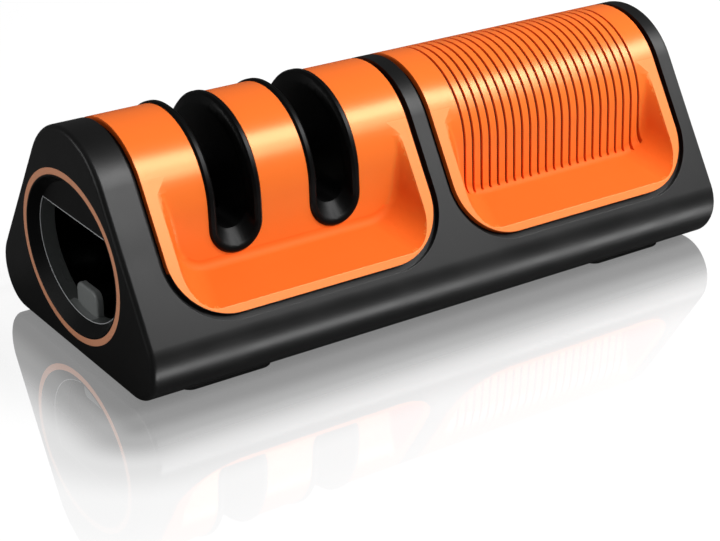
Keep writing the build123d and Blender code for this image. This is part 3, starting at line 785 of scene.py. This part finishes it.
class ScrewTree:
    """Geometry nodes that make a cross-recessed screw and set it out two by two."""

    head_sides: int = 48
    shank_sides: int = 32
    turn_steps: int = 24
    ridge_sides: int = 4
    # The point's width beside the shank's, and the turns left plain at the head and the point.
    point_share: float = 0.5
    plain_turns: float = 3.0

    def __init__(self) -> None:
        """Starts an empty tree."""
        self.tree = bpy.data.node_groups.new("screw_pattern", "GeometryNodeTree")
        self.sizes: dict[str, Socket] = {}

    def build(self, sizes: ScrewSet, material: bpy.types.Material) -> bpy.types.NodeTree:
        """Lays out the nodes.

        Args:
            sizes: The screw whose values become the inputs' defaults.
            material: What the screws are made of.

        Returns:
            The node tree.
        """
        face = self.tree.interface
        face.new_socket("Geometry", in_out="OUTPUT", socket_type="NodeSocketGeometry")
        for name, value in sizes.inputs().items():
            kind = "NodeSocketVector" if isinstance(value, tuple) else "NodeSocketFloat"
            face.new_socket(name, in_out="INPUT", socket_type=kind).default_value = value
        given = self.tree.nodes.new("NodeGroupInput")
        self.sizes = {socket.name: socket for socket in given.outputs if socket.name}
        screw = self._join(self._head(), self._shank(), self._thread())
        grid = self._node("GeometryNodeMeshGrid", {"Vertices X": 2, "Vertices Y": 2})
        self._link(self.sizes["Spread X"], grid.inputs["Size X"])
        self._link(self.sizes["Spread Y"], grid.inputs["Size Y"])
        spots = self._node("GeometryNodeInstanceOnPoints", {})
        corners = self._moved(grid.outputs["Mesh"], self.sizes["Place"])
        self._link(corners, spots.inputs["Points"])
        self._link(screw, spots.inputs["Instance"])
        self._link(self.sizes["Turn"], spots.inputs["Rotation"])
        real = self._node("GeometryNodeRealizeInstances", {})
        self._link(spots.outputs["Instances"], real.inputs["Geometry"])
        finished = self._node("GeometryNodeSetMaterial", {"Material": material})
        self._link(real.outputs["Geometry"], finished.inputs["Geometry"])
        out = self.tree.nodes.new("NodeGroupOutput")
        self._link(finished.outputs["Geometry"], out.inputs["Geometry"])
        return self.tree

    def _node(self, kind: str, values: dict[str, object]) -> bpy.types.Node:
        """Adds a node and sets the inputs that are fixed.

        Args:
            kind: The node's type.
            values: Fixed inputs by name.

        Returns:
            The node.
        """
        node = self.tree.nodes.new(kind)
        for name, value in values.items():
            node.inputs[name].default_value = value
        return node

    def _link(self, source: Socket, target: Socket) -> None:
        """Joins two sockets."""
        self.tree.links.new(source, target)

    def _maths(self, operation: str, a: Socket, b: Socket | float) -> Socket:
        """Works out one value from two in this tree."""
        return maths(self.tree, operation, a, b)

    def _vector(self, *parts: Socket | None) -> Socket:
        """Makes a vector from up to three values, with nothing where a part is None.

        Args:
            *parts: Its x, y and z.

        Returns:
            The vector.
        """
        node = self.tree.nodes.new("ShaderNodeCombineXYZ")
        for part, socket in zip(parts, node.inputs):
            if part is not None:
                self._link(part, socket)
        return node.outputs[0]

    def _moved(self, shape: Socket, by: Socket) -> Socket:
        """Moves a shape.

        Args:
            shape: The geometry.
            by: How far.

        Returns:
            The moved geometry.
        """
        node = self._node("GeometryNodeTransform", {})
        self._link(shape, node.inputs["Geometry"])
        self._link(by, node.inputs["Translation"])
        return node.outputs["Geometry"]

    def _join(self, *shapes: Socket) -> Socket:
        """Puts shapes together.

        Args:
            *shapes: The geometries.

        Returns:
            All of them as one.
        """
        node = self._node("GeometryNodeJoinGeometry", {})
        for shape in shapes:
            self._link(shape, node.inputs["Geometry"])
        return node.outputs["Geometry"]

    def _head(self) -> Socket:
        """Makes the flat head with its cross recess.

        Returns:
            The head, its outer face at height 0.
        """
        disc = self._node("GeometryNodeMeshCylinder", {"Vertices": self.head_sides})
        self._link(self.sizes["Head Radius"], disc.inputs["Radius"])
        self._link(self.sizes["Head Height"], disc.inputs["Depth"])
        middle = self._maths("MULTIPLY", self.sizes["Head Height"], 0.5)
        raised = self._moved(disc.outputs["Mesh"], self._vector(None, None, middle))
        deep = self._maths("MULTIPLY", self.sizes["Drive Depth"], 2.0)
        long, wide = self.sizes["Drive Length"], self.sizes["Drive Width"]
        cut = self._node("GeometryNodeMeshBoolean", {})
        cut.operation = "DIFFERENCE"
        cut.solver = "EXACT"
        self._link(raised, cut.inputs["Mesh 1"])
        for along, across in ((long, wide), (wide, long)):
            arm = self._node("GeometryNodeMeshCube", {})
            self._link(self._vector(along, across, deep), arm.inputs["Size"])
            self._link(arm.outputs["Mesh"], cut.inputs["Mesh 2"])
        return cut.outputs["Mesh"]

    def _core(self) -> Socket:
        """Gives the shank's radius under its thread."""
        return self._maths("SUBTRACT", self.sizes["Shank Radius"], self.sizes["Thread Rise"])

    def _shank(self) -> Socket:
        """Makes the shank with its blunt point.

        Returns:
            The shank, standing on the head.
        """
        core, sunk = self._core(), self.sizes["Thread Rise"]
        head, tip_length = self.sizes["Head Height"], self.sizes["Thread Pitch"]
        straight = self._maths("SUBTRACT", self.sizes["Shank Length"], tip_length)
        whole = self._maths("ADD", straight, sunk)
        rod = self._node("GeometryNodeMeshCylinder", {"Vertices": self.shank_sides})
        self._link(core, rod.inputs["Radius"])
        self._link(whole, rod.inputs["Depth"])
        start = self._maths("SUBTRACT", head, sunk)
        middle = self._maths("ADD", start, self._maths("MULTIPLY", whole, 0.5))
        stem = self._moved(rod.outputs["Mesh"], self._vector(None, None, middle))
        tip = self._node("GeometryNodeMeshCone", {"Vertices": self.shank_sides})
        self._link(core, tip.inputs["Radius Bottom"])
        blunt = self._maths("MULTIPLY", core, self.point_share)
        self._link(blunt, tip.inputs["Radius Top"])
        self._link(self._maths("ADD", tip_length, sunk), tip.inputs["Depth"])
        top = self._maths("ADD", start, straight)
        point = self._moved(tip.outputs["Mesh"], self._vector(None, None, top))
        return self._join(stem, point)

    def _thread(self) -> Socket:
        """Winds the thread up the shank.

        Returns:
            The thread's ridge.
        """
        pitch, rise = self.sizes["Thread Pitch"], self.sizes["Thread Rise"]
        bare = self._maths("MULTIPLY", pitch, self.plain_turns)
        span = self._maths("SUBTRACT", self.sizes["Shank Length"], bare)
        winding = self._node("GeometryNodeCurveSpiral", {"Resolution": self.turn_steps})
        core = self._core()
        self._link(core, winding.inputs["Start Radius"])
        self._link(core, winding.inputs["End Radius"])
        self._link(span, winding.inputs["Height"])
        self._link(self._maths("DIVIDE", span, pitch), winding.inputs["Rotations"])
        ridge = self._node("GeometryNodeCurvePrimitiveCircle", {"Resolution": self.ridge_sides})
        self._link(rise, ridge.inputs["Radius"])
        swept = self._node("GeometryNodeCurveToMesh", {"Fill Caps": True})
        self._link(winding.outputs["Curve"], swept.inputs["Curve"])
        self._link(ridge.outputs["Curve"], swept.inputs["Profile Curve"])
        start = self._maths("ADD", self.sizes["Head Height"], pitch)
        return self._moved(swept.outputs["Mesh"], self._vector(None, None, start))


@dataclass
class Screws:
    """Both sets of four screws: base plate to housing, and cradle to base plate."""

    base: ScrewSet = ScrewSet((0.156, 0.024), (0.0, 0.0, 0.0013), False, 0.006)
    cradle: ScrewSet = ScrewSet((0.0307, 0.021), (-0.04315, 0.0, 0.0063), True, 0.0034)
    crease: float = 35.0

    def build(self) -> list[bpy.types.Object]:
        """Sets out and dresses both sets.

        Returns:
            The pieces made.
        """
        tree = ScrewTree().build(self.base, SCREW_STEEL.material())
        sets = (("base_screws", self.base), ("cradle_screws", self.cradle))
        return [self._set_out(node, sizes, tree) for node, sizes in sets]

    def _set_out(
        self, node: str, sizes: ScrewSet, tree: bpy.types.NodeTree
    ) -> bpy.types.Object:
        """Makes one set of screws as a plain mesh that stands for a node.

        Args:
            node: The CAD node's name.
            sizes: The screws' sizes.
            tree: The screw pattern.

        Returns:
            The piece, riding on the body.
        """
        holder = added(f"{node}_holder", bpy.data.meshes.new(f"{node}_holder"))
        pattern = holder.modifiers.new("screws", "NODES")
        pattern.node_group = tree
        values = sizes.inputs()
        for item in tree.interface.items_tree:
            if item.item_type == "SOCKET" and item.in_out == "INPUT":
                pattern[item.identifier] = values[item.name]
        bpy.context.view_layer.update()
        mesh = as_mesh(holder)
        bpy.data.objects.remove(holder)
        for index in reversed(range(len(mesh.materials))):
            if mesh.materials[index] is None:
                mesh.materials.pop(index=index)
        mesh.shade_smooth()
        mesh.set_sharp_from_angle(angle=math.radians(self.crease))
        piece = added(f"{node}_skin", mesh)
        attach(piece, "body")
        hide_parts(node)
        log.info("%s: %d faces", piece.name, len(mesh.polygons))
        return piece


@dataclass(frozen=True)
class Softbox:
    """A rectangular studio lamp that faces a point of the object."""

    name: str
    place: Point
    target: Point
    width: float
    height: float
    radiance: float
    gloss_only: bool = False

    def build(self) -> bpy.types.Object:
        """Makes the lamp.

        Returns:
            The lamp object.
        """
        lamp = bpy.data.lights.new(self.name, "AREA")
        lamp.shape = "RECTANGLE"
        lamp.size = self.width
        lamp.size_y = self.height
        lamp.energy = self.radiance * math.pi * self.width * self.height
        rig = added(self.name, lamp)
        rig.location = self.place
        towards = Vector(self.target) - Vector(self.place)
        rig.rotation_euler = towards.to_track_quat("-Z", "Y").to_euler()
        rig.visible_camera = False
        rig.visible_diffuse = not self.gloss_only
        return rig


@dataclass
class Studio:
    """The pale glossy floor, the backdrop, the lamps and the camera."""

    # The camera: its place, the turns of its frame and its lens in millimetres.
    camera_at: Point = (-0.28708, -0.41198, 0.23362)
    camera_right: Point = (0.82397, -0.56663, 0.0)
    camera_up: Point = (0.23930, 0.34798, 0.90644)
    camera_back: Point = (-0.51362, -0.74688, 0.42232)
    lens: float = 95.16
    sensor: float = 36.0
    near_limit: float = 0.01
    # The world's light on plain surfaces, and in reflections.
    ambient: float = 0.34
    gloss_ambient: float = 0.08
    # The floor: its own colour, the colour that reflections see, and the white for the camera.
    floor_shade: float = 0.30
    floor_in_gloss: float = 0.10
    floor_glow: float = 0.72
    # Its gloss fades with the distance from the footprint, as shares of the reach.
    footprint: Point = (0.1, 0.043, 0.0)
    gloss_reach: float = 0.15
    gloss_fade: tuple[tuple[float, float], ...] = (
        (0.0, 0.70),
        (0.05, 0.58),
        (0.13, 0.27),
        (0.24, 0.11),
        (0.5, 0.04),
        (1.0, 0.0),
    )
    # The floor's and the backdrop's sizes.
    half_width: float = 4.0
    backdrop_far: float = 3.9
    backdrop_tall: float = 3.0
    # The lamps.
    boxes: tuple[Softbox, ...] = (
        Softbox("key_box", (0.70, -0.56, 0.95), (0.70, -0.02, 0.055), 1.0, 0.36, 12.5),
        Softbox("slope_box", (0.30, -0.77, 0.71), (0.30, -0.025, 0.045), 0.4, 0.19, 10.5),
        Softbox("far_box", (0.85, -0.77, 0.71), (0.85, -0.025, 0.045), 0.7, 0.19, 3.7),
        Softbox("right_box", (1.0, -0.3, 0.5), (0.0, -0.02, 0.04), 0.5, 0.4, 3.0),
        Softbox("left_box", (-0.9, 0.35, 0.25), (-0.09, 0.0, 0.03), 0.6, 0.3, 3.2),
        Softbox("toe_card", (0.01, -0.061, 0.001), (0.01, -0.061, 1.0), 0.22, 0.013, 8.0, True),
    )

    def build(self) -> None:
        """Sets up the stage round the finished object."""
        self._floor()
        self._backdrop()
        self._world()
        for box in self.boxes:
            box.build()
        self._camera()
        bpy.context.scene.view_settings.view_transform = "Standard"

    def _bare_material(self, name: str) -> tuple[bpy.types.Material, Socket]:
        """Makes a material whose tree holds nothing but its output.

        Args:
            name: The material's name.

        Returns:
            The material, and the socket that takes its surface.
        """
        material = bpy.data.materials.new(name)
        material.use_nodes = True
        material.node_tree.nodes.clear()
        out = material.node_tree.nodes.new("ShaderNodeOutputMaterial")
        return material, out.inputs["Surface"]

    def _panel(
        self, name: str, corners: list[Point], material: bpy.types.Material, camera_only: bool
    ) -> None:
        """Adds a flat stage panel.

        Args:
            name: The panel's name.
            corners: Its four corners in order.
            material: What it is made of.
            camera_only: True for a panel that lights nothing and shows in no reflection.
        """
        mesh = bpy.data.meshes.new(name)
        mesh.from_pydata(corners, [], [(0, 1, 2, 3)])
        mesh.materials.append(material)
        panel = added(name, mesh)
        if camera_only:
            panel.visible_diffuse = False
            panel.visible_glossy = False
            panel.visible_shadow = False

    def _floor(self) -> None:
        """Lays the glossy white floor, whose gloss fades away from the object."""
        material, surface = self._bare_material("floor_white")
        tree = material.node_tree
        path = tree.nodes.new("ShaderNodeLightPath")
        ground = self._ground(tree, path)
        shine = tree.nodes.new("ShaderNodeBsdfGlossy")
        shine.inputs["Roughness"].default_value = 0.0
        shine.inputs["Color"].default_value = grey(1.0)
        blend = tree.nodes.new("ShaderNodeMixShader")
        tree.links.new(self._gloss_share(tree, path), blend.inputs["Fac"])
        tree.links.new(ground, blend.inputs[1])
        tree.links.new(shine.outputs[0], blend.inputs[2])
        tree.links.new(blend.outputs[0], surface)
        wide = self.half_width
        corners = [(-wide, -wide, 0.0), (wide, -wide, 0.0), (wide, wide, 0.0), (-wide, wide, 0.0)]
        self._panel("floor", corners, material, False)

    def _ground(self, tree: bpy.types.NodeTree, path: bpy.types.Node) -> Socket:
        """Makes the floor's matt ground, which glows to the camera alone.

        Args:
            tree: The floor material's nodes.
            path: The node that tells what a ray is for.

        Returns:
            The ground's shader.
        """
        matt = tree.nodes.new("ShaderNodeBsdfDiffuse")
        shade = tree.nodes.new("ShaderNodeMix")
        shade.data_type = "RGBA"
        shade.inputs["A"].default_value = grey(self.floor_shade)
        shade.inputs["B"].default_value = grey(self.floor_in_gloss)
        tree.links.new(path.outputs["Is Glossy Ray"], shade.inputs["Factor"])
        tree.links.new(shade.outputs["Result"], matt.inputs["Color"])
        glow = tree.nodes.new("ShaderNodeEmission")
        glow.inputs["Color"].default_value = grey(1.0)
        lift = maths(tree, "MULTIPLY", path.outputs["Is Camera Ray"], self.floor_glow)
        tree.links.new(lift, glow.inputs["Strength"])
        ground = tree.nodes.new("ShaderNodeAddShader")
        tree.links.new(matt.outputs[0], ground.inputs[0])
        tree.links.new(glow.outputs[0], ground.inputs[1])
        return ground.outputs[0]

    def _gloss_share(self, tree: bpy.types.NodeTree, path: bpy.types.Node) -> Socket:
        """Works out the gloss's share of the floor, from 0 to 1, by the distance to the object.

        Args:
            tree: The floor material's nodes.
            path: The node that tells what a ray is for.

        Returns:
            The share, which is 0 to every ray but the camera's.
        """
        away = tree.nodes.new("ShaderNodeTexCoord").outputs["Object"]
        for step, value in (
            ("ABSOLUTE", None),
            ("SUBTRACT", self.footprint),
            ("MAXIMUM", (0.0, 0.0, 0.0)),
        ):
            node = tree.nodes.new("ShaderNodeVectorMath")
            node.operation = step
            tree.links.new(away, node.inputs[0])
            if value is not None:
                node.inputs[1].default_value = value
            away = node.outputs["Vector"]
        reach = tree.nodes.new("ShaderNodeVectorMath")
        reach.operation = "LENGTH"
        tree.links.new(away, reach.inputs[0])
        fade = tree.nodes.new("ShaderNodeValToRGB")
        ramp = fade.color_ramp
        ramp.interpolation = "EASE"
        while len(ramp.elements) < len(self.gloss_fade):
            ramp.elements.new(0.5)
        for (at, share), stop in zip(self.gloss_fade, list(ramp.elements)):
            stop.position = at
            stop.color = grey(share)
        part = maths(tree, "MULTIPLY", reach.outputs["Value"], 1.0 / self.gloss_reach)
        tree.links.new(part, fade.inputs["Fac"])
        return maths(tree, "MULTIPLY", fade.outputs["Color"], path.outputs["Is Camera Ray"])

    def _backdrop(self) -> None:
        """Stands a white backdrop behind the object."""
        material, surface = self._bare_material("backdrop_white")
        tree = material.node_tree
        glow = tree.nodes.new("ShaderNodeEmission")
        glow.inputs["Color"].default_value = grey(1.0)
        tree.links.new(glow.outputs[0], surface)
        wide, far, tall = self.half_width, self.backdrop_far, self.backdrop_tall
        corners = [(-wide, far, 0.0), (wide, far, 0.0), (wide, far, tall), (-wide, far, tall)]
        self._panel("backdrop", corners, material, True)

    def _world(self) -> None:
        """Fills the studio with soft light, and shows white to the camera and to mirrors."""
        world = bpy.data.worlds.new("studio")
        bpy.context.scene.world = world
        world.use_nodes = True
        tree = world.node_tree
        background = tree.nodes["Background"]
        background.inputs["Color"].default_value = grey(1.0)
        path = tree.nodes.new("ShaderNodeLightPath")
        gloss = tree.nodes.new("ShaderNodeMapRange")
        gloss.inputs["To Min"].default_value = self.ambient
        gloss.inputs["To Max"].default_value = self.gloss_ambient
        tree.links.new(path.outputs["Is Glossy Ray"], gloss.inputs["Value"])
        level = tree.nodes.new("ShaderNodeMapRange")
        level.inputs["To Max"].default_value = 1.0
        camera, mirror = path.outputs["Is Camera Ray"], path.outputs["Is Singular Ray"]
        seen = maths(tree, "MAXIMUM", camera, mirror)
        tree.links.new(gloss.outputs["Result"], level.inputs["To Min"])
        tree.links.new(seen, level.inputs["Value"])
        tree.links.new(level.outputs["Result"], background.inputs["Strength"])

    def _camera(self) -> None:
        """Stands the camera where the photograph was taken from."""
        eye = bpy.data.cameras.new("camera")
        eye.lens = self.lens
        eye.sensor_width = self.sensor
        eye.sensor_fit = "HORIZONTAL"
        eye.clip_start = self.near_limit
        stand = added("camera", eye)
        turn = Matrix((self.camera_right, self.camera_up, self.camera_back)).transposed()
        stand.matrix_world = Matrix.Translation(self.camera_at) @ turn.to_4x4()
        bpy.context.scene.camera = stand


def main() -> None:
    """Builds every sub-assembly in order, then the studio."""
    logging.basicConfig(level=logging.INFO, format="%(name)s: %(message)s")
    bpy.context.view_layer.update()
    assemblies = [
        Housing(),
        Covers(),
        EndTrim(),
        SharpeningStage("coarse", COARSE_GRIT),
        SharpeningStage("fine", FINE_GRIT),
        Cradle(),
        Screws(),
    ]
    for assembly in assemblies:
        pieces = assembly.build()
        log.info("%s: %d pieces", type(assembly).__name__, len(pieces))
    Studio().build()


if __name__ == "__main__":
    main()
